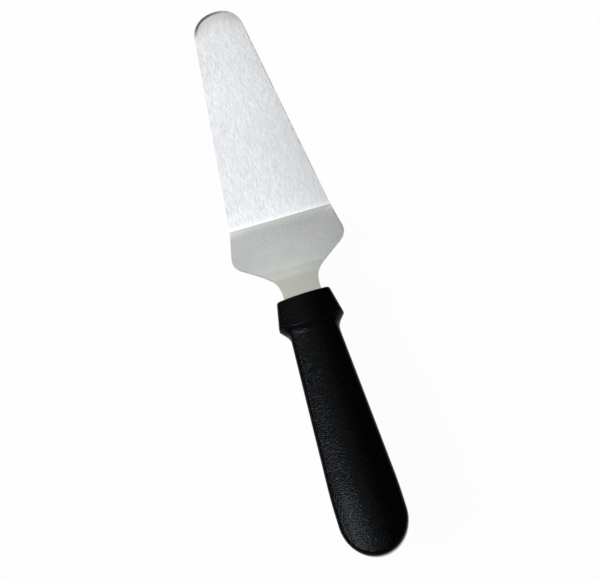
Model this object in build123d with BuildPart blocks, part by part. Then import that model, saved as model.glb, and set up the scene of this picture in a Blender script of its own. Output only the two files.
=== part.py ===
"""Offset serving spatula: a folded stainless steel blade with a plastic handle moulded over its tang.

Millimetres. +X runs across the blade, +Y towards the tip, +Z up. The flat underside of the blade
lies on Z = 0, and the origin is on its centre line, halfway between the crease and the tip.
"""

from build123d import *

import os
from math import cos, radians, sin, tan

# Steel sheet
sheet_thickness = 1.2
crease_inside_radius = 0.9
neck_bend_inside_radius = 12.0

# Flat pattern of the blade, measured from the middle of the crease
blade_length = 118.0
crease_width = 55.8
side_taper = 7.6  # angle between each straight side and the centre line
tip_depth = 5.6  # from where the straight sides give way to the rounded tip
tip_corner_radius = 12.0
shoulder_distance = 25.0
shoulder_corner_radius = 11.0
shoulder_angle = 46.5  # slant of the rear edges that run in to the neck
neck_width = 20.0
neck_fillet_radius = 10.0

# Folds
riser_angle = 40.0
riser_length = 41.5
fold_skew = -2.5  # the sheet is folded slightly out of square with its centre line
handle_rise = 8.0
neck_length = 13.7

# Tang inside the handle
tang_length = 92.0
tang_width = 13.0
tang_shoulder_depth = 9.0
tang_end_radius = 5.0
tang_hole_radius = 3.0
tang_hole_count = 3
tang_hole_spacing = 24.0
tang_hole_end_distance = 12.0

# Handle: its outline, with a flared bolster at the front
handle_yaw = -0.36  # the tang and handle lie very slightly out of line with the neck
handle_length = 137.6
front_width = 28.2
side_flare = 12.0
side_ridge_distance = 14.8
side_rear_slope = 42.0
grip_neck_distance = 23.3
grip_neck_width = 25.7
grip_width = 35.1
belly_length = 32.6  # from the grip's widest place to the end of the butt
butt_depth = 19.6

# Handle: its thickness, with a crowned top and bottom
front_thickness = 16.4
top_flare = 4.0
top_ridge_distance = 15.2
top_rear_slope = 20.0
grip_neck_thickness = 15.6
grip_thickness = 19.4
butt_thickness = 17.6
crown_radius = 36.0

# Handle: its rounded edges
bolster_edge_radius = 3.0
front_edge_radius = 1.4
ridge_radius = 0.8
cove_radius = 8.0
grip_edge_radius = 3.0
belly_side_radius = 250.0
grip_top_radius = 120.0

# Cutting shapes reach this far past the solids that they trim
trim_reach = 70.0
trim_overlap = 3.0
tolerance = 0.1


def folded(plane, line, angle):
    """The plane of the sheet beyond a fold line, turned up by an angle."""
    return Plane(
        origin=line.position,
        x_dir=plane.x_dir.rotate(line, -angle),
        z_dir=plane.z_dir.rotate(line, -angle),
    )


def along(plane, distance):
    """The point on the centre line at a distance from the plane's origin, towards the tip."""
    return plane.from_local_coords((0, distance, 0))


# Datum planes in the middle of the sheet: local X across it, local Y towards the tip
fold_direction = (cos(radians(fold_skew)), sin(radians(fold_skew)), 0)
blade_plane = Plane(origin=(0, -blade_length / 2, sheet_thickness / 2), x_dir=(1, 0, 0), z_dir=(0, 0, 1))
crease_line = Axis(blade_plane.origin, fold_direction)
riser_plane = folded(blade_plane, crease_line, riser_angle)
neck_line = Axis(along(riser_plane, -riser_length), fold_direction)
neck_plane = folded(riser_plane, neck_line, handle_rise - riser_angle)
neck_end = along(neck_plane, -neck_length)
handle_plane = Plane(
    origin=neck_end,
    x_dir=neck_plane.x_dir.rotate(Axis(neck_end, neck_plane.z_dir), handle_yaw),
    z_dir=neck_plane.z_dir,
)

# Cross-section planes: square to the folds, along the handle's middle, and across the handle
fold_section = Plane(
    origin=crease_line.position, x_dir=Vector(0, 0, 1).cross(Vector(fold_direction)), z_dir=fold_direction
)
handle_long_section = Plane(
    origin=handle_plane.origin, x_dir=handle_plane.y_dir, z_dir=handle_plane.x_dir
)
handle_cross_section = Plane(
    origin=handle_plane.origin, x_dir=handle_plane.x_dir, z_dir=-handle_plane.y_dir
)

# Flat pattern: the outline of the sheet before it is folded, with the tang still at neck width
taper = tan(radians(side_taper))
tip_chord_distance = blade_length - tip_depth
tip_chord_half_width = crease_width / 2 - tip_chord_distance * taper
shoulder_half_width = crease_width / 2 + shoulder_distance * taper
neck_distance = shoulder_distance + (shoulder_half_width - neck_width / 2) / tan(radians(shoulder_angle))
pattern_end = riser_length + neck_length + tang_length

with BuildSketch() as flat_pattern:
    with BuildLine():
        ThreePointArc(
            (-tip_chord_half_width, tip_chord_distance),
            (0, blade_length),
            (tip_chord_half_width, tip_chord_distance),
        )
        Polyline(
            (tip_chord_half_width, tip_chord_distance),
            (shoulder_half_width, -shoulder_distance),
            (neck_width / 2, -neck_distance),
            (neck_width / 2, -pattern_end),
            (-neck_width / 2, -pattern_end),
            (-neck_width / 2, -neck_distance),
            (-shoulder_half_width, -shoulder_distance),
            (-tip_chord_half_width, tip_chord_distance),
        )
    make_face()
    fillet(flat_pattern.vertices().group_by(Axis.Y)[-1], tip_corner_radius)
    fillet(flat_pattern.vertices().group_by(Axis.Y)[2], shoulder_corner_radius)
    fillet(flat_pattern.vertices().group_by(Axis.Y)[1], neck_fillet_radius)

# Blade: the folded strip, trimmed square to its own faces by the flat pattern
strip_points = [
    fold_section.to_local_coords(point)
    for point in (
        along(blade_plane, blade_length + trim_overlap),
        blade_plane.origin,
        neck_plane.origin,
        along(neck_plane, -neck_length - tang_length - trim_overlap),
    )
]

with BuildPart() as blade:
    with BuildSketch(fold_section):
        with BuildLine():
            FilletPolyline(
                [(point.X, point.Y) for point in strip_points],
                radius=[
                    crease_inside_radius + sheet_thickness / 2,
                    neck_bend_inside_radius + sheet_thickness / 2,
                ],
            )
        trace(line_width=sheet_thickness)
    extrude(amount=shoulder_half_width + trim_overlap, both=True)

    # In front of the crease
    with BuildSketch(blade_plane):
        Rectangle(
            2 * blade_length, 2 * blade_length, rotation=fold_skew, align=(Align.CENTER, Align.MIN)
        )
        add(flat_pattern.sketch, mode=Mode.SUBTRACT)
    extrude(amount=trim_reach, both=True, mode=Mode.SUBTRACT)

    # Behind the crease, from just in front of it so that the outside of the bend is trimmed too
    with BuildSketch(riser_plane):
        with Locations((0, trim_overlap)):
            Rectangle(
                2 * blade_length, 2 * pattern_end, rotation=fold_skew, align=(Align.CENTER, Align.MAX)
            )
        add(flat_pattern.sketch, mode=Mode.SUBTRACT)
    extrude(amount=trim_reach, both=True, mode=Mode.SUBTRACT)

    # Tang: narrower than the neck, with a rounded end and holes that the plastic fills
    with BuildSketch(handle_plane):
        Rectangle(2 * neck_width, 2 * tang_length, align=(Align.CENTER, Align.MAX))
        with BuildSketch(mode=Mode.SUBTRACT):
            Rectangle(2 * neck_width, tang_shoulder_depth, align=(Align.CENTER, Align.MAX))
            Rectangle(tang_width, tang_length, align=(Align.CENTER, Align.MAX))
            fillet(vertices().group_by(Axis.Y)[0], tang_end_radius)
            with Locations((0, tang_hole_end_distance - tang_length)):
                with GridLocations(0, tang_hole_spacing, 1, tang_hole_count, align=(Align.CENTER, Align.MIN)):
                    Circle(tang_hole_radius, mode=Mode.SUBTRACT)
    extrude(amount=sheet_thickness, both=True, mode=Mode.SUBTRACT)

blade.part.label = "blade"


# Handle datums: its long and upright axes, and the axis below it that its top is crowned about
handle_axis = Axis(handle_plane.origin, handle_plane.y_dir)
handle_upright = Axis(handle_plane.origin, handle_plane.z_dir)
crown_axis_height = grip_neck_thickness / 2 - crown_radius
crown_axis = Axis(handle_plane.from_local_coords((0, 0, crown_axis_height)), handle_plane.y_dir)


def in_handle(shape):
    """The middle of a face or an edge, in the handle plane's coordinates."""
    return handle_plane.to_local_coords(shape.center())


def edges_between(shapes, front, rear):
    """The edges whose middles lie between two distances behind the handle's front."""
    return shapes.edges().filter_by(lambda edge: front < -in_handle(edge).Y < rear)


def rim_edges(part, front, rear):
    """The long edges where the side walls meet the crowned top and bottom."""
    edges = edges_between(part, front + tolerance, rear - tolerance)
    edges = edges.filter_by(lambda edge: min(abs(in_handle(edge).X), abs(in_handle(edge).Z)) > tolerance)
    return edges.filter_by(handle_upright, reverse=True)


def trim_to_crowns():
    """Trim the part to the bar that its section turns about the crown axis, and to its mirror image."""
    bar = revolve(axis=crown_axis, mode=Mode.PRIVATE)
    add(bar, mode=Mode.INTERSECT)
    add(mirror(bar, about=handle_plane, mode=Mode.PRIVATE), mode=Mode.INTERSECT)


# Bolster: a flared block, crowned above and below, and cut back behind its ridge by an oval cone
bolster_length = grip_neck_distance
ridge_half_width = front_width / 2 + side_ridge_distance * tan(radians(side_flare))
ridge_half_height = front_thickness / 2 + top_ridge_distance * tan(radians(top_flare))
rear_half_width = front_width / 2 + bolster_length * tan(radians(side_flare))
rear_half_height = front_thickness / 2 + bolster_length * tan(radians(top_flare))


def rear_cone_section(distance):
    """Section of the oval cone, at a distance behind the handle's front."""
    with BuildSketch(handle_cross_section.offset(distance)) as section:
        Ellipse(
            ridge_half_width - (distance - side_ridge_distance) * tan(radians(side_rear_slope)),
            ridge_half_height - (distance - top_ridge_distance) * tan(radians(top_rear_slope)),
        )
    return section.sketch


with BuildPart() as bolster:
    with BuildSketch(handle_plane):
        with BuildLine():
            Polyline(
                (-front_width / 2, 0),
                (front_width / 2, 0),
                (rear_half_width, -bolster_length),
                (-rear_half_width, -bolster_length),
                close=True,
            )
        make_face()
    extrude(amount=front_thickness, both=True)
    with BuildSketch(handle_long_section):
        with BuildLine():
            Polyline(
                (0, crown_axis_height),
                (0, front_thickness / 2),
                (-bolster_length, rear_half_height),
                (-bolster_length, crown_axis_height),
                close=True,
            )
        make_face()
    trim_to_crowns()
    fillet(rim_edges(bolster, 0, bolster_length), bolster_edge_radius)
    loft([rear_cone_section(0), rear_cone_section(bolster_length)], ruled=True, mode=Mode.INTERSECT)
    ridge = edges_between(bolster, side_ridge_distance - tolerance, top_ridge_distance + tolerance)
    fillet(ridge, ridge_radius)
    fillet(bolster.faces().sort_by(handle_axis)[-1].edges(), front_edge_radius)

# Grip: a tapered outline with a rounded butt, crowned above and below, that starts inside the bolster
grip_start = side_ridge_distance / 2
belly_distance = handle_length - belly_length
grip_taper = (grip_width - grip_neck_width) / (belly_distance - grip_neck_distance)
grip_start_width = grip_neck_width - grip_taper * (grip_neck_distance - grip_start)

with BuildPart() as grip:
    with BuildSketch(handle_plane):
        with BuildLine():
            Polyline(
                (0, -grip_start),
                (grip_start_width / 2, -grip_start),
                (grip_width / 2, -belly_distance),
                (grip_width / 2, butt_depth - handle_length),
            )
            EllipticalCenterArc(
                (0, butt_depth - handle_length), grip_width / 2, butt_depth, start_angle=270, arc_size=90
            )
            mirror(about=Plane.YZ)
        make_face()
        fillet(vertices().group_by(Axis.Y)[2], belly_side_radius)
    extrude(amount=grip_thickness, both=True)
    with BuildSketch(handle_long_section):
        with BuildLine():
            grip_top = FilletPolyline(
                (0, grip_neck_thickness / 2),
                (-grip_neck_distance, grip_neck_thickness / 2),
                (-belly_distance, grip_thickness / 2),
                (-handle_length, butt_thickness / 2),
                radius=grip_top_radius,
            )
            Polyline(grip_top @ 1, (-handle_length, crown_axis_height), (0, crown_axis_height), grip_top @ 0)
        make_face()
    trim_to_crowns()
    fillet(rim_edges(grip, grip_start, handle_length), grip_edge_radius)

# Handle: bolster and grip in one moulding, with a cove between them, closed all round the tang
with BuildPart() as handle:
    add(bolster.part)
    add(grip.part)
    fillet(new_edges(bolster.part, grip.part, combined=handle.part), cove_radius)
    add(blade.part, mode=Mode.SUBTRACT)

handle.part.label = "handle"

os.makedirs("parts", exist_ok=True)
export_step(blade.part, "parts/blade.step")
export_step(handle.part, "parts/handle.step")
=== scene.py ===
"""Looks for the offset serving spatula: a satin steel blade with a lengthwise grain, folded up to
a neck, and a stippled black plastic handle."""

from math import atan2, cos, pi, radians, sin, sqrt, tan

import bpy
from mathutils import Matrix, Vector


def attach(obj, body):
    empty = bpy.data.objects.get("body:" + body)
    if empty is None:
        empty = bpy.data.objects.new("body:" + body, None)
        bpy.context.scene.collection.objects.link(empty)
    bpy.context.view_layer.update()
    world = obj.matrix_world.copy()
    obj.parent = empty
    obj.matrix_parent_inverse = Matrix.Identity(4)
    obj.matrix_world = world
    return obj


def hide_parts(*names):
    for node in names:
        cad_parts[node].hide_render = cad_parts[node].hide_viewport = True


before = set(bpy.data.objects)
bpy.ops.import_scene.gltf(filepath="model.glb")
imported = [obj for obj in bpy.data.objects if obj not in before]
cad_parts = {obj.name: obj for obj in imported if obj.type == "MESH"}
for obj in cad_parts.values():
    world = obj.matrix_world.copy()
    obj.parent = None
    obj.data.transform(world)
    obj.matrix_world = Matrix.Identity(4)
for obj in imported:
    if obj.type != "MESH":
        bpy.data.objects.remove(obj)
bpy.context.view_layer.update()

MM = 0.001

# Camera: above the handle, looking down on the blade
CAMERA_AIM = Vector((-0.667, -99.77, 20.0)) * MM
CAMERA_DISTANCE = 850 * MM
CAMERA_SIDEWAYS = 2.5  # degrees towards +X
CAMERA_BACKWARDS = 5.0  # degrees towards the handle
CAMERA_ROLL = -18.1
CAMERA_LENS = 98.35
SENSOR_WIDTH = 36.0

# The blade: its crease, its straight sides and its rounded tip
CREASE_Y = -59 * MM
CREASE_SKEW = 2.5  # degrees out of square
CREASE_WIDTH = 55.8 * MM
SIDE_TAPER = 7.6  # degrees between each side and the centre line
TIP_Y = 59 * MM
TIP_RADIUS = 13 * MM
NEAR_TOP = 1.1 * MM  # just under the top of the sheet
TUMBLED_RADIUS = 0.12 * MM

# The crescent ground off the top of the tip
GRIND_WIDTH = 1.6 * MM
GRIND_DEPTH = 0.85 * MM
GRIND_MIDDLE = -20  # degrees round the tip from its front, so towards the left
GRIND_REACH = 55  # degrees from its middle to each end
GRIND_LENGTH = 14 * MM  # the most that it runs back from the tip

# Steel tones
# painted shade for the sides and the rear half of the blade
PAINTED_SHADE_STEEL = (0.45, 0.45, 0.46)
CLOUDY_STEEL = (0.6, 0.61, 0.62)
# painted highlight along the crease
CREASE_HIGHLIGHT_STEEL = (0.97, 0.965, 0.94)
# painted shade round the tip
TIP_SHADE_STEEL = (0.46, 0.46, 0.43)
GRIND_END_STEEL = (0.72, 0.72, 0.7)
# painted shade along the right edge
EDGE_SHADE_STEEL = (0.3, 0.3, 0.29)
# painted shade for the shoulders
SHOULDER_SHADE_STEEL = (0.62, 0.62, 0.61)
PINKISH_STEEL = (0.82, 0.765, 0.775)

# How often each texture repeats along X, Y and Z, per metre
SCRATCHES = (2400, 300, 300)
CLOUDS = (160, 60, 60)
PATCHES = (110, 80, 80)
EDGE_SHADE_BREAKS = (200, 350, 200)
SCORES = (900, 260, 4000)
STIPPLE = (1400, 1400, 1400)

# The studio
SOFTBOX_DISTANCE = 3.0
FLOOR_SIZE = 30
FLOOR_DROP = 0.2 * MM
FLOOR_GLOW = 0.96  # the share of plain white that the camera and the steel see in the floor


def grey(tone):
    """A neutral colour."""
    return (tone, tone, tone)


def add_camera():
    """A camera that looks down at the tool, turned so that the blade points up and to the left."""
    sideways = sin(radians(CAMERA_SIDEWAYS))
    backwards = sin(radians(CAMERA_BACKWARDS))
    back = Vector((sideways, -backwards, sqrt(1 - sideways**2 - backwards**2)))
    right = Vector((0, 1, 0)).cross(back).normalized()
    up = back.cross(right)
    axes = Matrix((right, up, back)).transposed() @ Matrix.Rotation(radians(CAMERA_ROLL), 3, "Z")
    data = bpy.data.cameras.new("camera")
    data.lens = CAMERA_LENS
    data.sensor_width = SENSOR_WIDTH
    data.sensor_fit = "HORIZONTAL"
    camera = bpy.data.objects.new("camera", data)
    camera.matrix_world = Matrix.Translation(CAMERA_AIM + back * CAMERA_DISTANCE) @ axes.to_4x4()
    bpy.context.collection.objects.link(camera)
    bpy.context.scene.camera = camera


def new_material(name):
    """An empty node tree with its output, a principled shader and the object's own coordinates."""
    material = bpy.data.materials.new(name)
    material.use_nodes = True
    nodes = material.node_tree.nodes
    nodes.clear()
    output = nodes.new("ShaderNodeOutputMaterial")
    shader = nodes.new("ShaderNodeBsdfPrincipled")
    place = nodes.new("ShaderNodeTexCoord")
    material.node_tree.links.new(shader.outputs["BSDF"], output.inputs["Surface"])
    return material, shader, place.outputs["Object"]


def coordinate(owner, place, axis):
    """One coordinate of a place or of a direction."""
    node = owner.node_tree.nodes.new("ShaderNodeSeparateXYZ")
    owner.node_tree.links.new(place, node.inputs["Vector"])
    return node.outputs[axis]


def distance_along(material, place, direction):
    """How far a point lies from the origin along a direction, in metres."""
    node = material.node_tree.nodes.new("ShaderNodeVectorMath")
    node.operation = "DOT_PRODUCT"
    node.inputs[1].default_value = direction
    material.node_tree.links.new(place, node.inputs[0])
    return node.outputs["Value"]


def calculated(material, operation, first, second):
    """One math operation on two values, each a node's output or a plain number."""
    node = material.node_tree.nodes.new("ShaderNodeMath")
    node.operation = operation
    for value, socket in zip((first, second), node.inputs):
        if isinstance(value, (int, float)):
            socket.default_value = value
        else:
            material.node_tree.links.new(value, socket)
    return node.outputs["Value"]


def product(material, first, second):
    """Two values multiplied."""
    return calculated(material, "MULTIPLY", first, second)


def scaled_square(material, value, scale):
    """A value squared and scaled."""
    return product(material, product(material, value, value), scale)


def ranged(owner, value, low, high, to_low, to_high):
    """A value carried from one range to another, and held at its ends."""
    node = owner.node_tree.nodes.new("ShaderNodeMapRange")
    node.inputs["From Min"].default_value = low
    node.inputs["From Max"].default_value = high
    node.inputs["To Min"].default_value = to_low
    node.inputs["To Max"].default_value = to_high
    owner.node_tree.links.new(value, node.inputs["Value"])
    return node.outputs["Result"]


def ramp(owner, value, stops):
    """A colour ramp through (position, colour) stops."""
    node = owner.node_tree.nodes.new("ShaderNodeValToRGB")
    elements = node.color_ramp.elements
    while len(elements) < len(stops):
        elements.new(0.5)
    for element, (position, color) in zip(elements, stops):
        element.position = position
        element.color = (*color, 1)
    owner.node_tree.links.new(value, node.inputs["Fac"])
    return node.outputs["Color"]


def stretched_noise(material, place, scale, detail, roughness=0.5):
    """Noise on the object's coordinates with its own scale along each axis, per metre."""
    nodes = material.node_tree.nodes
    links = material.node_tree.links
    mapping = nodes.new("ShaderNodeMapping")
    mapping.inputs["Scale"].default_value = scale
    noise = nodes.new("ShaderNodeTexNoise")
    noise.inputs["Scale"].default_value = 1.0
    noise.inputs["Detail"].default_value = detail
    noise.inputs["Roughness"].default_value = roughness
    links.new(place, mapping.inputs["Vector"])
    links.new(mapping.outputs["Vector"], noise.inputs["Vector"])
    return noise.outputs["Fac"]


def mixed_color(material, share, color, other):
    """One colour laid over another by a share."""
    node = material.node_tree.nodes.new("ShaderNodeMix")
    node.data_type = "RGBA"
    links = material.node_tree.links
    links.new(share, node.inputs["Factor"])
    links.new(color, node.inputs["A"])
    if isinstance(other, tuple):
        node.inputs["B"].default_value = (*other, 1)
    else:
        links.new(other, node.inputs["B"])
    return node.outputs["Result"]


def bump(material, height, distance, strength, below=None):
    """A bump from a height, over another bump where one is given."""
    node = material.node_tree.nodes.new("ShaderNodeBump")
    node.inputs["Distance"].default_value = distance
    node.inputs["Strength"].default_value = strength
    material.node_tree.links.new(height, node.inputs["Height"])
    if below is not None:
        material.node_tree.links.new(below, node.inputs["Normal"])
    return node.outputs["Normal"]


def distance_above_crease(material, place):
    """How far a point lies from the crease, towards the tip, in metres."""
    square_to_crease = (sin(radians(CREASE_SKEW)), cos(radians(CREASE_SKEW)), 0)
    forward = distance_along(material, place, square_to_crease)
    return calculated(material, "SUBTRACT", forward, CREASE_Y)


def tip_zone(material, place):
    """A crescent that runs round the tip: 1 at its edge, 0 by 8 mm inside it."""
    reach = material.node_tree.nodes.new("ShaderNodeVectorMath")
    reach.operation = "DISTANCE"
    reach.inputs[1].default_value = (0, TIP_Y - TIP_RADIUS, 0)
    material.node_tree.links.new(place, reach.inputs[0])
    rim = ranged(material, reach.outputs["Value"], TIP_RADIUS - 8 * MM, TIP_RADIUS, 0, 1)
    forward = coordinate(material, place, "Y")
    front = ranged(material, forward, TIP_Y - 13 * MM, TIP_Y - 6 * MM, 0, 1)
    return product(material, rim, front)


def right_edge_shade(material, place, above):
    """A broken line of painted shade along the blade's right edge, standing for its dark rounding: near
    1 on it, 0 elsewhere.
    """
    taper = tan(radians(SIDE_TAPER))
    edge = CREASE_WIDTH / 2 + CREASE_Y * taper
    outward = distance_along(material, place, (1, taper, 0))
    line = ranged(material, outward, edge - 0.7 * MM, edge - 0.2 * MM, 0, 0.85)
    breaks = stretched_noise(material, place, EDGE_SHADE_BREAKS, 1.0)
    line = product(material, line, ranged(material, breaks, 0.4, 0.55, 0.2, 1))
    return product(material, line, ranged(material, above, 15 * MM, 30 * MM, 0.3, 1))


def crowned_sheet(material, across, above):
    """The sheet is crowned by a degree or so across its width, and its tip lifts by as much."""
    crown = scaled_square(material, across, -0.4)
    lift = scaled_square(material, calculated(material, "MAXIMUM", above, 0), 0.13)
    return bump(material, calculated(material, "ADD", crown, lift), 1.0, 1.0)


def calm_finish_and_painted_light(material, place, across, above):
    """The smoother finish behind the crease, its tone painted along its length: grey with faint pink
    patches on the riser, painted shade at the shoulders, a painted highlight round the neck's bend,
    warmer up the neck, and painted shade near the handle."""
    # tone along the riser and neck: painted highlight round the neck's bend, painted shade near the
    # handle
    color = ramp(
        material,
        ranged(material, above, -40 * MM, 0, 0, 1),
        [
            (0.10, (0.63, 0.64, 0.56)),
            (0.15, (0.75, 0.765, 0.675)),
            (0.20, (0.90, 0.92, 0.83)),
            (0.25, (0.94, 0.955, 0.89)),
            (0.31, (0.94, 0.955, 0.92)),
            (0.38, (0.88, 0.90, 0.88)),
            (0.55, (0.835, 0.87, 0.86)),
            (0.75, (0.765, 0.80, 0.79)),
            (1.0, (0.77, 0.78, 0.765)),
        ],
    )
    patches = ranged(material, stretched_noise(material, place, PATCHES, 1.0), 0.35, 0.65, 0, 0.8)
    on_riser = ranged(material, above, -30 * MM, -20 * MM, 0, 1)
    color = mixed_color(material, product(material, patches, on_riser), color, PINKISH_STEEL)
    # painted shade darkening the shoulders
    return mixed_color(material, scaled_square(material, across, 800.0), color, SHOULDER_SHADE_STEEL)


def painted_crease_highlight(material, above):
    """A painted highlight along the fold, where the bend catches the light: 1 on the crease, 0 a few
    millimetres each side.
    """
    return ramp(
        material,
        ranged(material, above, -8 * MM, 8 * MM, 0, 1),
        [
            (0.18, grey(0)),
            (0.25, grey(0.12)),
            (0.34, grey(0.4)),
            (0.40, grey(0.75)),
            (0.46, grey(1)),
            (0.54, grey(0.7)),
            (0.62, grey(0.3)),
            (0.72, grey(0)),
        ],
    )


def satin_steel():
    """Stainless steel with a fine lengthwise grain of short scratches, which fades out up the neck."""
    material, shader, place = new_material("satin_steel")
    links = material.node_tree.links
    above = distance_above_crease(material, place)
    across = coordinate(material, place, "X")

    # The grain, and the calmer finish that covers it behind the crease
    faded = ranged(material, above, -38 * MM, -4 * MM, 0.78, 0.25)
    calm = product(material, faded, ranged(material, above, -1 * MM, 1 * MM, 1, 0))
    scratches = stretched_noise(material, place, SCRATCHES, 2.0, 0.6)
    grain = mixed_color(material, calm, scratches, grey(0.5))
    streaks = ramp(material, grain, [(0.33, (0.63, 0.63, 0.635)), (0.67, grey(0.915))])
    color = mixed_color(material, calm, streaks, calm_finish_and_painted_light(material, place, across, above))

    # Faint clouds, then painted shade: darker sides, and the rear half of the blade a little darker
    clouds = ranged(material, stretched_noise(material, place, CLOUDS, 1.0), 0.35, 0.65, 0, 0.12)
    color = mixed_color(material, clouds, color, CLOUDY_STEEL)
    color = mixed_color(material, scaled_square(material, across, 300.0), color, PAINTED_SHADE_STEEL)
    rear_shade = ranged(material, above, 45 * MM, 70 * MM, 0.15, 0)
    rear_shade = product(material, rear_shade, ranged(material, above, 3 * MM, 14 * MM, 0, 1))
    color = mixed_color(material, rear_shade, color, PAINTED_SHADE_STEEL)

    # The crease's painted highlight, then painted shade on the tip and along the right edge
    color = mixed_color(material, painted_crease_highlight(material, above), color, CREASE_HIGHLIGHT_STEEL)
    # painted shade darkening the rim of the tip
    tip_shade = ranged(material, tip_zone(material, place), 0, 1, 0, 0.75)
    color = mixed_color(material, tip_shade, color, TIP_SHADE_STEEL)
    # painted shade along the right edge
    color = mixed_color(material, right_edge_shade(material, place, above), color, EDGE_SHADE_STEEL)

    links.new(color, shader.inputs["Base Color"])
    links.new(ranged(material, grain, 0.3, 0.7, 0.21, 0.29), shader.inputs["Roughness"])
    crowned = crowned_sheet(material, across, above)
    links.new(bump(material, grain, 0.02 * MM, 0.6, crowned), shader.inputs["Normal"])
    shader.inputs["Metallic"].default_value = 1.0
    return material


def scored_steel(name, dark, light):
    """Steel scored by shears or a grinding wheel, between two tones, with its colour still loose."""
    material, shader, place = new_material(name)
    links = material.node_tree.links
    scores = stretched_noise(material, place, SCORES, 2.0)
    color = ramp(material, scores, [(0.3, grey(dark)), (0.7, grey(light))])
    links.new(ranged(material, scores, 0.3, 0.7, 0.38, 0.5), shader.inputs["Roughness"])
    links.new(bump(material, scores, 0.02 * MM, 0.6), shader.inputs["Normal"])
    shader.inputs["Metallic"].default_value = 1.0
    return material, shader, place, color


def sheared_edge_steel():
    """The sheared rim of the sheet, duller than its faces."""
    material, shader, _, color = scored_steel("sheared_edge_steel", 0.25, 0.8)
    material.node_tree.links.new(color, shader.inputs["Base Color"])
    return material


def ground_tip_painted_shade():
    """The ground crescent on the tip, painted dark with shade in its middle and as pale as the blade at
    both ends.
    """
    material, shader, place, color = scored_steel("ground_tip_painted_shade", 0.12, 0.22)
    to_right = ranged(material, coordinate(material, place, "X"), -3 * MM, 8 * MM, 0, 1)
    forward = coordinate(material, place, "Y")
    to_left = ranged(material, forward, TIP_Y - 6 * MM, TIP_Y - 10.5 * MM, 0, 1)
    color = mixed_color(material, to_right, color, GRIND_END_STEEL)
    color = mixed_color(material, to_left, color, GRIND_END_STEEL)
    material.node_tree.links.new(color, shader.inputs["Base Color"])
    return material


def stippled_plastic():
    """Black polypropylene with the fine stipple of a spark-eroded mould."""
    material, shader, place = new_material("stippled_black_plastic")
    links = material.node_tree.links
    stipple = stretched_noise(material, place, STIPPLE, 0.0)
    color = ramp(material, stipple, [(0.35, grey(0.0003)), (0.68, (0.0012, 0.0012, 0.0013))])
    links.new(color, shader.inputs["Base Color"])
    links.new(ranged(material, stipple, 0.3, 0.7, 0.08, 0.27), shader.inputs["Roughness"])
    links.new(bump(material, stipple, 0.15 * MM, 1.0), shader.inputs["Normal"])
    shader.inputs["Specular IOR Level"].default_value = 0.075
    shader.inputs["Specular Tint"].default_value = (0.9, 0.955, 1.0, 1)
    return material


def is_cut_edge(face):
    """Whether a face of the sheet is part of its sheared rim."""
    round_tip = face.center.y > 40 * MM and abs(face.normal.z) < 0.5
    return round_tip or abs(face.normal.x) > 0.2


def copy_blade():
    """A copy of the blade's sheet with its triangles merged back into whole faces."""
    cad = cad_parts["blade"]
    piece = cad.copy()
    piece.data = cad.data.copy()
    piece.name = "blade_sheet"
    piece.parent = None
    bpy.context.collection.objects.link(piece)
    bpy.ops.object.select_all(action="DESELECT")
    piece.select_set(True)
    bpy.context.view_layer.objects.active = piece
    bpy.ops.object.mode_set(mode="EDIT")
    bpy.ops.mesh.select_all(action="SELECT")
    bpy.ops.mesh.remove_doubles(threshold=0.002 * MM)
    bpy.ops.mesh.dissolve_limited(angle_limit=radians(0.2))
    bpy.ops.mesh.select_mode(type="FACE")
    bpy.ops.mesh.select_all(action="DESELECT")
    bpy.ops.object.mode_set(mode="OBJECT")
    return piece


def finish_steel(piece):
    """Satin faces and a sheared rim, with a third material for the ground tip, which carries painted
    shade.
    """
    piece.data.materials.clear()
    piece.data.materials.append(satin_steel())
    piece.data.materials.append(sheared_edge_steel())
    piece.data.materials.append(ground_tip_painted_shade())
    for face in piece.data.polygons:
        face.material_index = 1 if is_cut_edge(face) else 0


def grind_tip(piece):
    """Grinds a narrow crescent off the top of the tip, deepest on its left and fading out both ways."""
    mesh = piece.data
    top_faces = (face for face in mesh.polygons if face.normal.z > 0.999)
    blade_top = max(top_faces, key=lambda face: face.area)
    blade_top.select = True
    bpy.ops.object.mode_set(mode="EDIT")
    bpy.ops.mesh.inset(thickness=GRIND_WIDTH)
    bpy.ops.object.mode_set(mode="OBJECT")
    inside = {i for face in mesh.polygons if face.select for i in face.vertices}
    lowered = set()
    for vertex in mesh.vertices:
        turn = atan2(vertex.co.x, vertex.co.y - (TIP_Y - TIP_RADIUS))
        share = 1 - ((turn - radians(GRIND_MIDDLE)) / radians(GRIND_REACH)) ** 2
        at_rim = vertex.index not in inside and vertex.co.z > NEAR_TOP
        if at_rim and share > 0 and vertex.co.y > TIP_Y - GRIND_LENGTH:
            vertex.co.z -= GRIND_DEPTH * share
            lowered.add(vertex.index)
    for face in mesh.polygons:
        if face.normal.z > 0.2 and len(lowered.intersection(face.vertices)) == 2:
            face.material_index = 2


def tumble_edges(piece):
    """Rounds the cut edges very slightly and keeps the broad faces flat in their shading."""
    bpy.ops.object.shade_smooth_by_angle(angle=radians(35))
    edges = piece.modifiers.new("tumbled_edges", "BEVEL")
    edges.width = TUMBLED_RADIUS
    edges.segments = 2
    edges.limit_method = "ANGLE"
    edges.angle_limit = radians(40)
    edges.use_clamp_overlap = True
    edges.harden_normals = True
    edges.material = 1
    bpy.ops.object.modifier_apply(modifier=edges.name)
    flat_faces = piece.modifiers.new("flat_faces", "WEIGHTED_NORMAL")
    flat_faces.weight = 100
    flat_faces.keep_sharp = True
    bpy.ops.object.modifier_apply(modifier=flat_faces.name)


def make_blade():
    """The folded sheet, with its tip ground and its cut edges tumbled."""
    piece = copy_blade()
    finish_steel(piece)
    grind_tip(piece)
    tumble_edges(piece)
    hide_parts("blade")
    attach(piece, "root")


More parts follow.
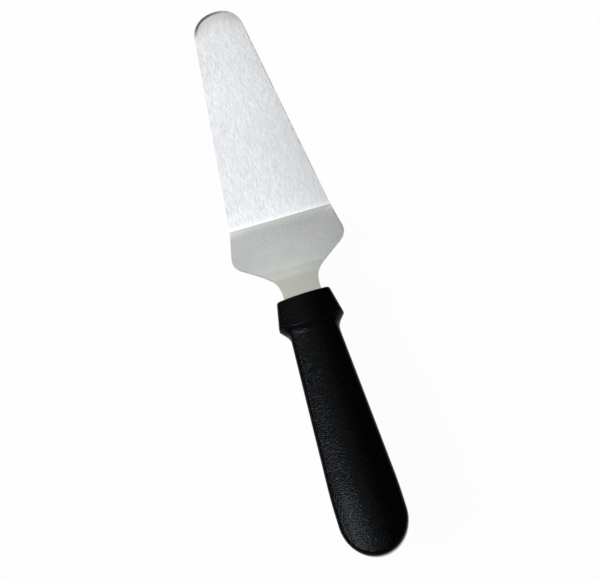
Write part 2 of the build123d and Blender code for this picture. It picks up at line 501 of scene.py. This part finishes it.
def softbox(name, sideways, forwards, width, depth, brightness, color):
    """A square of soft light far above the tool, at angles from straight up towards +X and +Y."""
    toward = Vector((sin(radians(sideways)), sin(radians(forwards)), 0))
    toward.z = sqrt(max(0.0, 1 - toward.x**2 - toward.y**2))
    facing = toward.to_track_quat("Z", "Y").to_matrix().to_4x4()
    data = bpy.data.lights.new(name, "AREA")
    data.shape = "RECTANGLE"
    data.size = width
    data.size_y = depth
    data.energy = brightness * pi * width * depth
    data.color = color
    lamp = bpy.data.objects.new(name, data)
    lamp.visible_camera = False
    lamp.matrix_world = Matrix.Translation(toward * SOFTBOX_DISTANCE) @ facing
    bpy.context.collection.objects.link(lamp)


def wall_tone(world, direction, axis, stops):
    """The room's tone along one axis of the direction, through stops from -1 to 1."""
    along = ranged(world, coordinate(world, direction, axis), -1, 1, 0, 1)
    return ramp(world, along, [((position + 1) / 2, tone) for position, tone in stops])


def blended_tones(world, blend_type, first, second):
    """Two of the room's tones put together by one kind of blend, in full."""
    node = world.node_tree.nodes.new("ShaderNodeMix")
    node.data_type = "RGBA"
    node.blend_type = blend_type
    node.inputs["Factor"].default_value = 1.0
    world.node_tree.links.new(first, node.inputs["A"])
    world.node_tree.links.new(second, node.inputs["B"])
    return node.outputs["Result"]


def light_room():
    """The room that the steel mirrors: pale ahead of the tip and on the left, grey behind, and
    dark on the right."""
    world = bpy.data.worlds.new("studio_room")
    bpy.context.scene.world = world
    world.use_nodes = True
    nodes = world.node_tree.nodes
    direction = nodes.new("ShaderNodeTexCoord").outputs["Generated"]
    across = wall_tone(
        world,
        direction,
        "X",
        [
            (-0.95, grey(0.12)),
            (-0.6, grey(0.8)),
            (-0.2, grey(1)),
            (-0.04, grey(0.84)),
            (0.05, grey(0.5)),
            (0.35, grey(0.03)),
        ],
    )
    ahead = wall_tone(
        world,
        direction,
        "Y",
        [
            (-0.5, grey(0.15)),
            (0.0, (0.42, 0.43, 0.43)),
            (0.36, (0.64, 0.64, 0.6)),
            (0.5, (0.88, 0.88, 0.84)),
            (0.7, (0.92, 0.93, 0.89)),
            (0.93, (0.83, 0.87, 0.84)),
        ],
    )
    behind_stops = [(-1.0, grey(0.5)), (-0.5, grey(0.4)), (-0.3, grey(0.1))]
    behind = wall_tone(world, direction, "Y", behind_stops)
    walls = blended_tones(world, "MULTIPLY", across, ahead)
    room = blended_tones(world, "LIGHTEN", walls, behind)
    world.node_tree.links.new(room, nodes["Background"].inputs["Color"])


def light_studio():
    """Soft light from overhead and a brighter one from the left, in a pale room."""
    light_room()
    softbox("overhead_softbox", -13, 1, 1.6, 2.3, 0.85, (0.96, 0.965, 1.0))
    softbox("left_softbox", -34.5, -1, 0.65, 1.4, 15.5, (0.83, 0.88, 1.0))


def mixed_shader(material, share, shader, other):
    """One shader laid over another by a share."""
    node = material.node_tree.nodes.new("ShaderNodeMixShader")
    for value, socket in zip((share, shader, other), node.inputs):
        material.node_tree.links.new(value, socket)
    return node.outputs["Shader"]


def white_floor():
    """Matt white with a plain glow that only the camera and the steel see, and clear from below."""
    material = bpy.data.materials.new("white_floor")
    material.use_nodes = True
    nodes = material.node_tree.nodes
    nodes.clear()
    output = nodes.new("ShaderNodeOutputMaterial")
    matt = nodes.new("ShaderNodeBsdfDiffuse")
    matt.inputs["Color"].default_value = (*grey(0.9), 1)
    glow = nodes.new("ShaderNodeEmission")
    glow.inputs["Strength"].default_value = 1.0
    clear = nodes.new("ShaderNodeBsdfTransparent")
    backfacing = nodes.new("ShaderNodeNewGeometry").outputs["Backfacing"]
    rays = nodes.new("ShaderNodeLightPath").outputs
    mirrored = calculated(material, "MAXIMUM", rays["Is Glossy Ray"], rays["Is Transmission Ray"])
    seen = calculated(material, "MAXIMUM", rays["Is Camera Ray"], mirrored)
    glowing = product(material, seen, FLOOR_GLOW)
    surface = mixed_shader(material, glowing, matt.outputs["BSDF"], glow.outputs["Emission"])
    surface = mixed_shader(material, backfacing, surface, clear.outputs["BSDF"])
    material.node_tree.links.new(surface, output.inputs["Surface"])
    return material


def lay_floor():
    """A plain white floor just under the tool, which takes its soft shadow."""
    bpy.ops.object.select_all(action="DESELECT")
    bpy.ops.mesh.primitive_plane_add(size=FLOOR_SIZE, location=(0, 0, -FLOOR_DROP))
    floor = bpy.context.object
    floor.name = "floor"
    floor.data.materials.append(white_floor())


add_camera()
bpy.context.scene.view_settings.view_transform = "Standard"
make_blade()
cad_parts["handle"].material_slots[0].material = stippled_plastic()
light_studio()
lay_floor()
